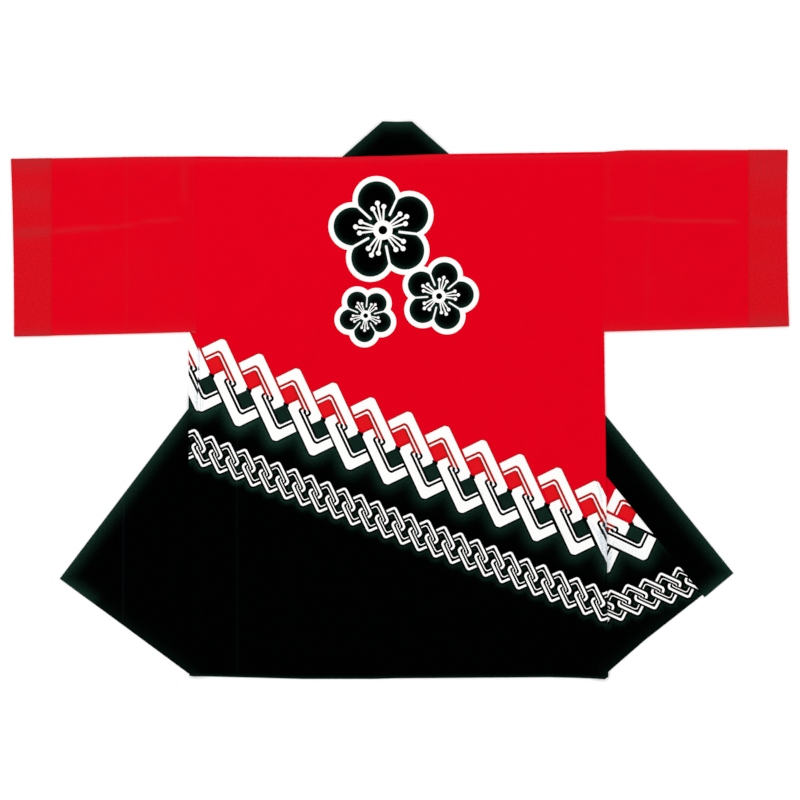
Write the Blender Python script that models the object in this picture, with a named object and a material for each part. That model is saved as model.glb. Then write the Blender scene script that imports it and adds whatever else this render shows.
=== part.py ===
"""A happi coat laid face down on a surface, back up, with both fronts pulled out to the sides.

Metres, +Z up. X runs from cuff to cuff and Y from hem to collar. The origin lies on the surface,
under the middle of the coat. "Left" is the -X side and "right" the +X side.

Each front hangs from the shoulder and the side of the back. It lies under the back, outer face
down, then folds under itself along a slanting crease, and its free part comes out past the side
as a wing with the outer face up. From the surface upward the layers are the free part, the part
under the back, and the back.
"""
import math
from collections import namedtuple

import bmesh
import bpy
from mathutils import Vector

# Thicknesses, and how the layers stand on each other
CLOTH = 0.0010
BAND = 0.0015
CUFF_CLOTH = 0.0014
SEAM_GAP = 0.0003
PITCH = BAND + SEAM_GAP
FOLD_RADIUS = PITCH / 2
FOLD_STEPS = 8
SETTLE = 0.024
CUFF_INNER_GAP = 0.0005

# The strips of the fronts that come up over the shoulder before they meet the back
SHOULDER_WRAP = 0.0035

# Pressed creases across the sleeves
CREASE_HEIGHT = 0.0015
CREASE_HALF_WIDTH = 0.014

# Where the hem of the back runs, from the left corner to the right one
HEM_RISE = (
    (-0.158, -0.4556),
    (-0.043, -0.4555),
    (-0.006, -0.4545),
    (0.245, -0.4527),
    (0.285, -0.4537),
)

# The main points of each half, seen from above as it lies:
# collar_top    end of the standing collar's upper edge
# neck          where collar, shoulder and front edge meet
# arm_top       shoulder end of the armhole
# underarm      lower end of the armhole
# side_top      upper end of the side fold, at the silhouette
# side_hem      lower end of the side fold
# seam_top      upper end of the seam of back and front
# seam_hem      lower end of that seam
# crease_hem    where the slanting crease of the front reaches the hem
# bend_inner    where the collar's seam bends, under the back
# bend_outer    where the collar's folded edge bends, at the side
# seam_end      hem end of the collar's seam
# band_end      hem end of the collar's folded edge, the tip of the wing
# hem_end       end of the front's hem beside the collar's seam
# hem_bow       middle of that hem, which is slightly curved
# wing_corner   hem corner of the wing beside the body
Half = namedtuple(
    "Half",
    "collar_top neck arm_top underarm side_top side_hem seam_top seam_hem"
    " crease_hem bend_inner bend_outer seam_end band_end hem_end hem_bow wing_corner",
)
HALVES = {
    "left": Half(
        collar_top=(-0.0286, 0.4552),
        neck=(-0.0948, 0.3970),
        arm_top=(-0.3335, 0.3980),
        underarm=(-0.3335, 0.1109),
        side_top=(-0.3452, 0.1109),
        side_hem=(-0.3436, -0.4500),
        seam_top=(-0.3286, 0.1109),
        seam_hem=(-0.3355, -0.4508),
        crease_hem=(-0.3345, -0.4515),
        bend_inner=(-0.3106, -0.0618),
        bend_outer=(-0.3465, -0.0144),
        seam_end=(-0.5082, -0.3270),
        band_end=(-0.5561, -0.2917),
        hem_end=(-0.5082, -0.3270),
        hem_bow=(-0.4482, -0.3710),
        wing_corner=(-0.3405, -0.4505),
    ),
    "right": Half(
        collar_top=(0.0196, 0.4552),
        neck=(0.0801, 0.4021),
        arm_top=(0.3302, 0.4054),
        underarm=(0.3302, 0.1115),
        side_top=(0.3333, 0.1115),
        side_hem=(0.3400, -0.4510),
        seam_top=(0.3253, 0.1115),
        seam_hem=(0.3345, -0.4555),
        crease_hem=(0.3310, -0.4525),
        bend_inner=(0.2893, -0.0651),
        bend_outer=(0.3359, -0.0244),
        seam_end=(0.4979, -0.3222),
        band_end=(0.5449, -0.2827),
        hem_end=(0.4946, -0.3181),
        hem_bow=(0.4000, -0.3923),
        wing_corner=(0.3370, -0.4471),
    ),
}

# Sections across each sleeve and cuff, from the armhole out: upper end, lower end, and how far
# up the section the pressed crease runs
Section = namedtuple("Section", "top_x top_y low_x low_y crease")
SLEEVES = {
    "left": (
        Section(-0.3335, 0.3980, -0.3335, 0.1119, 0.640),
        Section(-0.4300, 0.3975, -0.4300, 0.1091, 0.615),
        Section(-0.5688, 0.3950, -0.5688, 0.1058, 0.565),
    ),
    "right": (
        Section(0.3302, 0.4054, 0.3302, 0.1120, 0.635),
        Section(0.3710, 0.4082, 0.3710, 0.1131, 0.630),
        Section(0.4250, 0.4085, 0.4250, 0.1147, 0.615),
        Section(0.5688, 0.4085, 0.5688, 0.1190, 0.600),
    ),
}
CUFFS = {
    "left": (
        Section(-0.5688, 0.3950, -0.5688, 0.1058, 0.565),
        Section(-0.6355, 0.3939, -0.6305, 0.1045, 0.550),
    ),
    "right": (
        Section(0.5688, 0.4085, 0.5688, 0.1190, 0.600),
        Section(0.6331, 0.4085, 0.6355, 0.1213, 0.600),
    ),
}

COLOURS = {
    "red_print": (0.775, 0.002, 0.010, 1.0),
    "red_plain": (0.745, 0.002, 0.011, 1.0),
    "red_reverse": (0.658, 0.007, 0.014, 1.0),
    "black": (0.006, 0.006, 0.007, 1.0),
}


class Line:
    """A straight line on the surface, with a unit normal that points away from an inner point."""

    def __init__(self, start, end, inner):
        self.start = Vector(start)
        along = (Vector(end) - self.start).normalized()
        self.normal = Vector((along.y, -along.x))
        if self.distance(Vector(inner)) > 0.0:
            self.normal.negate()

    def distance(self, point):
        return (Vector(point) - self.start).dot(self.normal)

    def moved(self, amount):
        """A copy of this line, further out along its normal."""
        copy = Line.__new__(Line)
        copy.start = self.start + self.normal * amount
        copy.normal = self.normal.copy()
        return copy


def fold(distance):
    """How cloth runs round a fold, from the distance past the fold's line in the flat cloth.

    Returns the distance past the line as folded, and the angle turned so far.
    """
    if distance <= -FOLD_RADIUS:
        return distance, 0.0
    if distance >= (math.pi - 1) * FOLD_RADIUS:
        return (math.pi - 2) * FOLD_RADIUS - distance, math.pi
    angle = (distance + FOLD_RADIUS) / FOLD_RADIUS
    return FOLD_RADIUS * (math.sin(angle) - 1.0), angle


def unfold(line, point):
    """The flat place of a point that lies folded over a line."""
    run = line.distance(point)
    flat = (math.pi - 2) * FOLD_RADIUS - run
    return Vector(point) + line.normal * (flat - run)


def fold_cuts(line):
    """The lines across which the cloth is cut so that it can bend round a fold."""
    step = math.pi * FOLD_RADIUS / FOLD_STEPS
    return [line.moved(index * step - FOLD_RADIUS) for index in range(FOLD_STEPS + 1)]


def settle(line, point):
    """1 where a layer lies below, falling to 0 over the width in which the cloth settles."""
    return min(1.0, max(0.0, 1.0 - line.distance(point) / SETTLE))


class Layers:
    """The lines that shape one half: its folds, and the edges that the upper layers ride over."""

    def __init__(self, half):
        self.half = half
        middle_hem = (0.0, HEM_RISE[1][1])
        self.side = Line(half.side_top, half.side_hem, middle_hem)
        self.shoulder = Line(half.neck, half.arm_top, middle_hem)
        self.slant = Line(half.collar_top, half.crease_hem, half.arm_top)
        self.band_edge = Line(half.collar_top, half.bend_outer, middle_hem)

    def front_height(self, point, thickness):
        """Underside of what lies just under the back, its top level with the band's."""
        return (PITCH + BAND - thickness) * settle(self.band_edge, point)

    def back_height(self, point):
        """What this half adds under the back."""
        return PITCH * (2 * settle(self.slant, point) + settle(self.band_edge, point) - 1.0)

    def settle_cuts(self):
        edges = [self.slant, self.band_edge]
        return edges + [line.moved(SETTLE) for line in edges]

    def place_front(self, thickness, folds_up):
        """Returns a function that puts a point of a flat front piece where it lies when folded.

        A flat point is given as if the slanting crease and the lines in folds_up were still
        open, in the level of the part under the back. The function gives the middle of the
        wall there and the direction across it.
        """
        folds = [(self.slant, -1.0)] + [(line, 1.0) for line in folds_up]

        def place(point):
            point = Vector(point)
            upward = Vector((0.0, 0.0, 1.0))
            middle = thickness / 2
            for line, rises in folds:
                distance = line.distance(point)
                if distance <= -FOLD_RADIUS:
                    continue
                run, angle = fold(distance)
                spot = point + line.normal * (run - distance)
                part = (1.0 - math.cos(angle)) / 2
                start = self.front_height(spot, thickness)
                end = self.back_height(spot) if rises > 0.0 else 0.0
                height = start + (end - start) * part
                across = line.normal.to_3d() * (-rises * math.sin(angle)) + upward * math.cos(angle)
                return Vector((spot.x, spot.y, height + middle)), across
            height = self.front_height(point, thickness)
            return Vector((point.x, point.y, height + middle)), upward

        return place


LAYERS = {name: Layers(half) for name, half in HALVES.items()}


def place_back(thickness):
    """Returns the function that lays a top layer over both halves."""

    def place(point):
        height = sum(layers.back_height(point) for layers in LAYERS.values())
        return Vector((point[0], point[1], height + thickness / 2)), Vector((0.0, 0.0, 1.0))

    return place


def inset(outline, amount):
    """The outline, given anticlockwise, with each side moved in."""
    points = [Vector(point) for point in outline]
    moved = []
    for index, point in enumerate(points):
        before = (point - points[index - 1]).normalized()
        after = (points[(index + 1) % len(points)] - point).normalized()
        normal_before = Vector((-before.y, before.x))
        normal_after = Vector((-after.y, after.x))
        mitre = (normal_before + normal_after) / (1.0 + normal_before.dot(normal_after))
        moved.append(point + mitre * amount)
    return moved


def anticlockwise(outline):
    area = 0.0
    for index, point in enumerate(outline):
        area += outline[index - 1][0] * point[1] - point[0] * outline[index - 1][1]
    return list(outline) if area > 0.0 else list(reversed(outline))


def material(name, colour_key):
    made = bpy.data.materials.new(name)
    made.use_nodes = True
    shader = made.node_tree.nodes["Principled BSDF"]
    shader.inputs["Base Color"].default_value = COLOURS[colour_key]
    shader.inputs["Roughness"].default_value = 0.85
    shader.inputs["Metallic"].default_value = 0.0
    return made


def add_object(name, bm, colour_key):
    bmesh.ops.recalc_face_normals(bm, faces=bm.faces[:])
    mesh = bpy.data.meshes.new(name)
    bm.to_mesh(mesh)
    bm.free()
    mesh.materials.append(material(name + "_cotton", colour_key))
    made = bpy.data.objects.new(name, mesh)
    bpy.context.scene.collection.objects.link(made)
    return made


def add_wall(name, outline, cuts, place, thickness, colour_key):
    """A wall of cloth: the flat outline is cut along lines, put in place and made thick."""
    flat = bmesh.new()
    corners = inset(anticlockwise(outline), SEAM_GAP / 2)
    flat.faces.new([flat.verts.new((corner.x, corner.y, 0.0)) for corner in corners])
    for line in cuts:
        bmesh.ops.bisect_plane(
            flat,
            geom=flat.verts[:] + flat.edges[:] + flat.faces[:],
            dist=0.00002,
            plane_co=line.start.to_3d(),
            plane_no=line.normal.to_3d(),
        )
    bmesh.ops.triangulate(flat, faces=flat.faces[:])

    solid = bmesh.new()
    upper = {}
    lower = {}
    for vert in flat.verts:
        middle, across = place(vert.co.to_2d())
        upper[vert] = solid.verts.new(middle + across * (thickness / 2))
        lower[vert] = solid.verts.new(middle - across * (thickness / 2))
    for face in flat.faces:
        solid.faces.new([upper[vert] for vert in face.verts])
        solid.faces.new([lower[vert] for vert in reversed(face.verts)])
    for edge in flat.edges:
        if edge.is_boundary:
            first, second = sorted(edge.verts, key=lambda vert: (vert.co.y, vert.co.x))
            solid.faces.new([upper[first], upper[second], lower[second]])
            solid.faces.new([upper[first], lower[second], lower[first]])
    flat.free()
    return add_object(name, solid, colour_key)


def back_outline():
    """The back: hem, side seams, armholes, shoulders and neckline."""
    left = HALVES["left"]
    right = HALVES["right"]
    wrap = Vector((0.0, -SHOULDER_WRAP))
    return [
        left.seam_hem,
        *HEM_RISE,
        right.seam_hem,
        right.seam_top,
        right.underarm,
        Vector(right.arm_top) + wrap,
        Vector(right.neck) + wrap,
        right.neck,
        left.neck,
        Vector(left.neck) + wrap,
        Vector(left.arm_top) + wrap,
        left.underarm,
        left.seam_top,
    ]


def front_outline(layers):
    """One front with its slanting crease, side and shoulder unfolded."""
    half = layers.half
    wrap = Vector((0.0, -SHOULDER_WRAP))
    return [
        unfold(layers.shoulder, Vector(half.neck) + wrap),
        unfold(layers.shoulder, Vector(half.arm_top) + wrap),
        half.underarm,
        half.side_top,
        unfold(layers.side, half.seam_top),
        unfold(layers.side, half.seam_hem),
        half.side_hem,
        half.crease_hem,
        unfold(layers.slant, half.wing_corner),
        unfold(layers.slant, half.hem_bow),
        unfold(layers.slant, half.hem_end),
        unfold(layers.slant, half.bend_inner),
        half.neck,
    ]


def collar_outline(layers):
    """The stretch of collar down one front, with the slanting crease unfolded."""
    half = layers.half
    return [
        half.neck,
        unfold(layers.slant, half.bend_inner),
        unfold(layers.slant, half.seam_end),
        unfold(layers.slant, half.band_end),
        unfold(layers.slant, half.bend_outer),
        half.collar_top,
    ]


def sleeve_ring(section, wall, inner_gap, outward):
    """One ring of a flattened sleeve: up the lower layer, over the top, and back down."""
    low = Vector((section.low_x, section.low_y))
    top = Vector((section.top_x, section.top_y))
    length = (top - low).length
    along = (top - low) / length
    radius = (wall + inner_gap) / 2
    centre_height = wall / 2 + radius
    crease_at = section.crease * length
    offset = wall / 2 * outward
    points = []
    for run in (radius, crease_at, length - radius):
        points.append((run, wall / 2 - offset))
    for index in range(1, FOLD_STEPS):
        angle = math.pi * index / FOLD_STEPS
        reach = radius + offset
        points.append((length - radius + reach * math.sin(angle), centre_height - reach * math.cos(angle)))
    upper = wall / 2 + 2 * radius + offset
    for run, rise in (
        (length - radius, 0.0),
        (crease_at + CREASE_HALF_WIDTH, 0.0),
        (crease_at, CREASE_HEIGHT),
        (crease_at - CREASE_HALF_WIDTH, 0.0),
        (radius, 0.0),
    ):
        points.append((run, upper + rise))
    for index in range(1, FOLD_STEPS):
        angle = math.pi * index / FOLD_STEPS
        reach = radius + offset
        points.append((radius - reach * math.sin(angle), centre_height + reach * math.cos(angle)))
    return [(low + along * run).to_3d() + Vector((0.0, 0.0, height)) for run, height in points]


def add_sleeve(name, sections, wall, inner_gap, colour_key):
    """A flattened tube of cloth, open at both ends, lofted through its sections."""
    direction = 1.0 if sections[-1].top_x > sections[0].top_x else -1.0
    solid = bmesh.new()
    outer_rings = []
    inner_rings = []
    for index, section in enumerate(sections):
        shift = Vector((0.0, 0.0, 0.0))
        if index == 0:
            shift.x = direction * SEAM_GAP / 2
        if index == len(sections) - 1:
            shift.x = -direction * SEAM_GAP / 2
        for rings, outward in ((outer_rings, 1.0), (inner_rings, -1.0)):
            ring = sleeve_ring(section, wall, inner_gap, outward)
            rings.append([solid.verts.new(point + shift) for point in ring])
    count = len(outer_rings[0])
    for rings in (outer_rings, inner_rings):
        for ring, following in zip(rings, rings[1:]):
            for index in range(count):
                after = (index + 1) % count
                solid.faces.new([ring[index], ring[after], following[after], following[index]])
    for end in (0, -1):
        for index in range(count):
            after = (index + 1) % count
            solid.faces.new([
                outer_rings[end][index],
                outer_rings[end][after],
                inner_rings[end][after],
                inner_rings[end][index],
            ])
    return add_object(name, solid, colour_key)


def build():
    every_settle = [line for layers in LAYERS.values() for line in layers.settle_cuts()]
    add_wall("back_panel", back_outline(), every_settle, place_back(CLOTH), CLOTH, "red_print")

    collar_neck = [HALVES["left"].neck, HALVES["left"].collar_top]
    collar_neck += [HALVES["right"].collar_top, HALVES["right"].neck]
    add_wall("collar_neck", collar_neck, every_settle, place_back(BAND), BAND, "black")

    for name, layers in LAYERS.items():
        folds_up = [layers.side, layers.shoulder]
        band_cuts = fold_cuts(layers.slant) + layers.settle_cuts()
        front_cuts = band_cuts + fold_cuts(layers.side) + fold_cuts(layers.shoulder)
        add_wall(
            "front_" + name, front_outline(layers), front_cuts,
            layers.place_front(CLOTH, folds_up), CLOTH, "red_print",
        )
        add_wall(
            "collar_" + name, collar_outline(layers), band_cuts,
            layers.place_front(BAND, []), BAND, "black",
        )
        add_sleeve("sleeve_" + name, SLEEVES[name], CLOTH, PITCH - CLOTH, "red_plain")
        add_sleeve("cuff_hem_" + name, CUFFS[name], CUFF_CLOTH, CUFF_INNER_GAP, "red_reverse")


for existing in list(bpy.data.objects):
    bpy.data.objects.remove(existing, do_unlink=True)
build()
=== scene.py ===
import math

import bpy
import numpy as np
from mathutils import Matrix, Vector
from mathutils.geometry import delaunay_2d_cdt


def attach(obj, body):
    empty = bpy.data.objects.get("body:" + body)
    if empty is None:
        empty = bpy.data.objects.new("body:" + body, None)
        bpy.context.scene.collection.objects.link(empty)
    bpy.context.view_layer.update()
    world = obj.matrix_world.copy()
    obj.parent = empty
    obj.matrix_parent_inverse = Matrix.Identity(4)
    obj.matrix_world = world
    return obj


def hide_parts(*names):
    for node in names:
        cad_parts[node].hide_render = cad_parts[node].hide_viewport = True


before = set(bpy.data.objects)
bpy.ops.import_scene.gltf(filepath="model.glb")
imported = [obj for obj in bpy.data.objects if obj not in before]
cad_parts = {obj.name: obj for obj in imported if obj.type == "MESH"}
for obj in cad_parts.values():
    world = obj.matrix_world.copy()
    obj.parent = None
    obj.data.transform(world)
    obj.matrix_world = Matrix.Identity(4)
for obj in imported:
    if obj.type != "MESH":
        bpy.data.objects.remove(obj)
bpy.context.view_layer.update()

bpy.ops.object.select_all(action="DESELECT")

# The back
# One width of thin plain-weave cotton from shoulder to hem, printed on its outer face in red,
# black and white. It lies on top, face up, over both fronts, and drops to the surface between
# them.
MM = 0.001
SEAM_GAP = 0.012 * MM
# The folded layers lie a pitch apart, which is the band's thickness and a little air
BAND = 1.5 * MM
PITCH = BAND + 0.3 * MM
CLOTH = 0.7 * MM
FOLD_RADIUS = PITCH / 2
FOLD_STEPS = 6
SETTLE = 24 * MM
HEM_DEPTH = 7.0 * MM
HEM_EASE = 0.9 * MM
HEM_LAYER = 0.3 * MM
SHOULDER_WRAP = 3.5 * MM
WRAP = np.array((0.0, -SHOULDER_WRAP))
# The outline in metres from the middle: the hem's bow, then the corners of either half
HEM_RISE = ((-0.158, -0.4556), (-0.043, -0.4555), (-0.006, -0.4545), (0.245, -0.4527),
            (0.285, -0.4537))
HALVES = {
    "left": dict(
        collar_top=(-0.0286, 0.4552), neck=(-0.0948, 0.3970),
        arm_top=(-0.3335, 0.3980), underarm=(-0.3335, 0.1109),
        side_top=(-0.3452, 0.1109), side_hem=(-0.3436, -0.4500),
        seam_top=(-0.3286, 0.1109), seam_hem=(-0.3355, -0.4508),
        crease_hem=(-0.3345, -0.4515), wing_corner=(-0.3405, -0.4505),
        bend_inner=(-0.3106, -0.0618), bend_outer=(-0.3465, -0.0144),
        seam_end=(-0.5082, -0.3270), band_end=(-0.5561, -0.2917),
        hem_end=(-0.5082, -0.3270), hem_bow=(-0.4482, -0.3710),
    ),
    "right": dict(
        collar_top=(0.0196, 0.4552), neck=(0.0801, 0.4021),
        arm_top=(0.3302, 0.4054), underarm=(0.3302, 0.1115),
        side_top=(0.3333, 0.1115), side_hem=(0.3400, -0.4510),
        seam_top=(0.3253, 0.1115), seam_hem=(0.3345, -0.4555),
        crease_hem=(0.3310, -0.4525), wing_corner=(0.3370, -0.4471),
        bend_inner=(0.2893, -0.0651), bend_outer=(0.3359, -0.0244),
        seam_end=(0.4979, -0.3222), band_end=(0.5449, -0.2827),
        hem_end=(0.4946, -0.3181), hem_bow=(0.4000, -0.3923),
    ),
}
left, right = HALVES["left"], HALVES["right"]
back_hem = (left["seam_hem"], *HEM_RISE, right["seam_hem"])


class Line:
    """A straight line on the surface, its normal turned away from an inner point."""

    def __init__(self, start, end, inner):
        self.start = np.array(start)
        self.along = np.array(end) - self.start
        self.along = self.along / np.linalg.norm(self.along)
        self.normal = np.array((self.along[1], -self.along[0]))
        if self.distance(inner) > 0.0:
            self.normal = -self.normal

    def distance(self, points):
        return (np.asarray(points) - self.start) @ self.normal

    def segment(self, out, reach=1.2):
        """The line moved out, as two far points."""
        middle = self.start + self.normal * out
        return [middle - self.along * reach, middle + self.along * reach]


def smooth(value):
    value = np.clip(value, 0.0, 1.0)
    return value * value * (3.0 - 2.0 * value)


def settle(line, points):
    """1 where a layer lies below, easing to 0 over the width in which the cloth settles."""
    return 1.0 - smooth(line.distance(points) / SETTLE)


def crease(points, start, end, height, width, fade):
    """A pressed crease: a low ridge from start to end, dying out at both ends."""
    start, end = np.array(start), np.array(end)
    length = np.linalg.norm(end - start)
    along = (end - start) / length
    run = (points - start) @ along
    off = (points - start) @ np.array((along[1], -along[0]))
    ends = smooth(run / fade + 0.5) * smooth((length - run) / fade + 0.5)
    return height * ends * np.exp(-((off / width) ** 2))


def crease_guides(start, end, width):
    """Lines along a crease, close enough for it to rise and fall smoothly."""
    start, end = np.array(start), np.array(end)
    along = (end - start) / np.linalg.norm(end - start)
    out = np.array((along[1], -along[0])) * width
    ends = (start - along * width, end + along * width)
    return [[point + out * part for point in ends] for part in (-1.6, -0.8, 0.0, 0.8, 1.6)]


# Low waves of the cloth: radians to a metre across and along it, start, and share of the height
DRIFT = 0.35 * MM
DRIFT_WAVES = (
    (9.1, 2.3, 0.6, 1.0), (3.7, -11.3, 1.9, 1.0), (17.0, 13.0, 0.0, 0.7), (-15.0, 23.0, 0.8, 0.5),
)


def drift(points):
    """Slow unevenness of cloth that was smoothed out by hand, from 0 to twice DRIFT."""
    whole = sum(share for *_, share in DRIFT_WAVES)
    wave = sum(share * np.sin(across * points[:, 0] + along * points[:, 1] + start)
               for across, along, start, share in DRIFT_WAVES)
    return DRIFT * (wave + whole) / whole


class Layers:
    """The folds of one half, and the edges that its upper layers ride over."""

    def __init__(self, half):
        self.half = half
        hem = HEM_RISE[1]
        self.side = Line(half["side_top"], half["side_hem"], hem)
        self.shoulder = Line(half["neck"], half["arm_top"], hem)
        self.slant = Line(half["collar_top"], half["crease_hem"], half["arm_top"])
        self.band_edge = Line(half["collar_top"], half["bend_outer"], hem)

    def front_height(self, points, thickness):
        return (PITCH + BAND - thickness) * settle(self.band_edge, points)

    def back_height(self, points):
        lift = 2 * settle(self.slant, points) + settle(self.band_edge, points) - 1.0
        return PITCH * lift

    def settle_guides(self):
        """Where the cloth above is divided, so that it eases down in a smooth curve."""
        return [line.segment(SETTLE * part) for line in (self.slant, self.band_edge)
                for part in (0.0, 0.25, 0.5, 0.75, 1.0)]


LAYERS = {name: Layers(half) for name, half in HALVES.items()}
EVERY_SETTLE = [guide for layers in LAYERS.values() for guide in layers.settle_guides()]


def back_height(points):
    return sum(layers.back_height(points) for layers in LAYERS.values())


def inset(outline, amount):
    """The outline with each side moved in."""
    points = np.array(outline, dtype=float)
    if turning(points) < 0.0:
        points = points[::-1]
    before = points - np.roll(points, 1, axis=0)
    before /= np.linalg.norm(before, axis=1)[:, None]
    after = np.roll(before, -1, axis=0)
    normal_before = np.stack((-before[:, 1], before[:, 0]), axis=1)
    normal_after = np.stack((-after[:, 1], after[:, 0]), axis=1)
    dot = np.clip((normal_before * normal_after).sum(axis=1), -0.6, 1.0)
    return points + (normal_before + normal_after) / (1.0 + dot)[:, None] * amount


def turning(points):
    """Twice the outline's area, positive when it runs anticlockwise."""
    points = np.asarray(points)
    after = np.roll(points, -1, axis=0)
    return float((points[:, 0] * after[:, 1] - after[:, 0] * points[:, 1]).sum())


def inside(points, outline):
    """Which points lie inside a closed outline."""
    found = np.zeros(len(points), dtype=bool)
    x, y = points[:, 0], points[:, 1]
    for (ax, ay), (bx, by) in zip(outline, np.roll(outline, -1, axis=0)):
        crosses = (ay > y) != (by > y)
        if crosses.any():
            at = ax + (y - ay) * (bx - ax) / (by - ay if by != ay else 1.0)
            found ^= crosses & (x < at)
    return found


def edge_distance(points, outline, closed=True):
    """How far each point lies from an outline, or from an open path."""
    nearest = np.full(len(points), 1.0)
    outline = np.asarray(outline)
    ends = np.roll(outline, -1, axis=0)
    for start, end in list(zip(outline, ends))[:None if closed else -1]:
        run = end - start
        part = np.clip(((points - start) @ run) / (run @ run), 0.0, 1.0)
        nearest = np.minimum(nearest, np.linalg.norm(points - start - part[:, None] * run, axis=1))
    return nearest


def spaced(start, end, spacing):
    """Points from start to end, evenly apart."""
    start, end = np.array(start), np.array(end)
    count = max(1, int(np.linalg.norm(end - start) / spacing))
    return start + np.multiply.outer(np.arange(count + 1) / count, end - start)


def divided(path, low, high, spacing):
    """The part of a path near the box from low to high, with points at even spacing."""
    found = []
    for start, end in zip(path[:-1], path[1:]):
        places = spaced(start, end, spacing)
        near = ((places > low - 2 * spacing) & (places < high + 2 * spacing)).all(axis=1)
        if near.any():
            found.append(places[near])
    return found


# Shares of the spacing: along a line, and from the rim to the nearest point of the grid
LINE_SHARE = 0.9
RIM_SHARE = 0.4
MERGE_DISTANCE = 1e-6
# Share of the thickness that is left at an edge, and of the rounding to its steepest ring
EDGE_SHARE = 0.35
RING_SHARE = 0.3


def rounded(depth):
    """The share of its thickness that cloth has at a depth in from its edge, 1 at full depth."""
    short = 1.0 - np.clip(depth, 0.0, 1.0)
    return EDGE_SHARE + (1.0 - EDGE_SHARE) * np.sqrt(1.0 - short ** 2)


def lay_cloth(name, outline, place, thickness, spacing, guides=(), shapes=(), paint=None,
              cloth_map=None, rounding=0.35 * MM, materials=(), face_down=False,
              glare=None, painted_shading=None, hems=()):
    """A sheet of cloth from its flat cut, put in place and made thick, with rounded edges.

    guides are segments and shapes closed outlines, both in the flat cut, along which the cloth
    is divided; paint gives each flat point its material; cloth_map gives the place in the bolt
    of cloth, which becomes the UV map. The first half of the materials is the cloth's face.
    glare gives how near each place in the bolt lies to white, for the painted glow beside it, and
    the crease-shading function how strongly painted shade and highlight of creases show; hems are
    paths along the outline where the cloth is turned in, which makes it thicker.
    """
    rim = inset(outline, SEAM_GAP / 2)
    low, high = rim.min(axis=0), rim.max(axis=0)

    points, edges = [], []

    def add_path(path, closed=False):
        first = len(points)
        points.extend(Vector(point) for point in path)
        count = len(path)
        for index in range(count if closed else count - 1):
            edges.append((first + index, first + (index + 1) % count))

    for loop in (rim, inset(rim, rounding * RING_SHARE), inset(rim, rounding)):
        for start, end in zip(loop, np.roll(loop, -1, axis=0)):
            add_path(spaced(start, end, spacing * LINE_SHARE))
    hem_lines = [inset(outline, depth) for depth in (HEM_DEPTH, HEM_DEPTH + HEM_EASE) if hems]
    for path in (*guides, *(np.vstack((line, line[:1])) for line in hem_lines)):
        for segment in divided(path, low, high, spacing * LINE_SHARE):
            add_path(segment)
    for shape in shapes:
        if (shape.max(axis=0) > low).all() and (shape.min(axis=0) < high).all():
            add_path(shape, closed=True)
    columns = np.arange(low[0] + spacing / 2, high[0], spacing)
    rows = np.arange(low[1] + spacing / 2, high[1], spacing)
    grid = np.array([(x + (spacing / 2 if index % 2 else 0.0), y)
                     for index, y in enumerate(rows) for x in columns])
    grid = grid[inside(grid, rim)]
    grid = grid[edge_distance(grid, rim) > spacing * RIM_SHARE]
    points.extend(Vector(point) for point in grid)

    verts, _, faces, *_ = delaunay_2d_cdt(points, edges, [], 0, MERGE_DISTANCE, False)
    flat = np.array([(vert.x, vert.y) for vert in verts])
    faces = np.array([face for face in faces if len(face) == 3])
    faces = faces[inside(flat[faces].mean(axis=1), rim)]
    used, faces = np.unique(faces, return_inverse=True)
    faces = faces.reshape(-1, 3)
    flat = flat[used]
    corners = flat[faces]
    side_a, side_b = corners[:, 1] - corners[:, 0], corners[:, 2] - corners[:, 0]
    area = side_a[:, 0] * side_b[:, 1] - side_a[:, 1] * side_b[:, 0]
    faces[area < 0.0] = faces[area < 0.0][:, ::-1]
    middles = flat[faces].mean(axis=1)

    middle, across = place(flat)
    from_rim = np.clip(edge_distance(flat, rim) / rounding, 0.0, 1.0)
    half = thickness / 2 * rounded(from_rim)
    upper = middle + across * half[:, None]
    lower = middle - across * half[:, None]
    for path in hems:
        depth = edge_distance(flat, path, closed=False)
        doubled = HEM_LAYER * smooth((HEM_DEPTH + HEM_EASE - depth) / HEM_EASE)
        doubled = (doubled * from_rim)[:, None] * across
        if face_down:
            lower -= doubled
        else:
            upper += doubled

    count = len(flat)
    directed = {(a, b) for face in faces.tolist() for a, b in zip(face, face[1:] + face[:1])}
    border = sorted((a, b) for a, b in directed if (b, a) not in directed)
    walls = []
    for a, b in border:
        walls += [(b, a, a + count), (b, a + count, b + count)]
    every = faces.tolist() + (faces[:, ::-1] + count).tolist() + walls

    mesh = bpy.data.meshes.new(name)
    mesh.from_pydata(np.vstack((upper, lower)).tolist(), [], every)
    for used_material in materials:
        mesh.materials.append(used_material)
    if paint is not None:
        kinds = paint(middles)
        wall_points = np.array([(flat[a] + flat[b]) / 2 for a, b in border])
        sides = [kinds, kinds + len(materials) // 2]
        if face_down:
            sides.reverse()
        every_kind = np.concatenate((*sides, np.repeat(paint(wall_points), 2)))
        mesh.polygons.foreach_set("material_index", every_kind.astype(np.int32))
    spots = flat if cloth_map is None else cloth_map(flat)
    # Painted light: how strongly a greenish glow of light from white shows near the cloth's edges
    # and print
    near = edge_glare(middle[:, :2])
    if glare is not None:
        near = np.maximum(near, glare(spots))
    # Painted shade and highlight of creases, 0 where there is none
    crease_shading = np.zeros(count) if painted_shading is None else painted_shading(flat)
    return cloth_object(name, mesh, spots, {"Glare": near, "CreaseShading": crease_shading})


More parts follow.
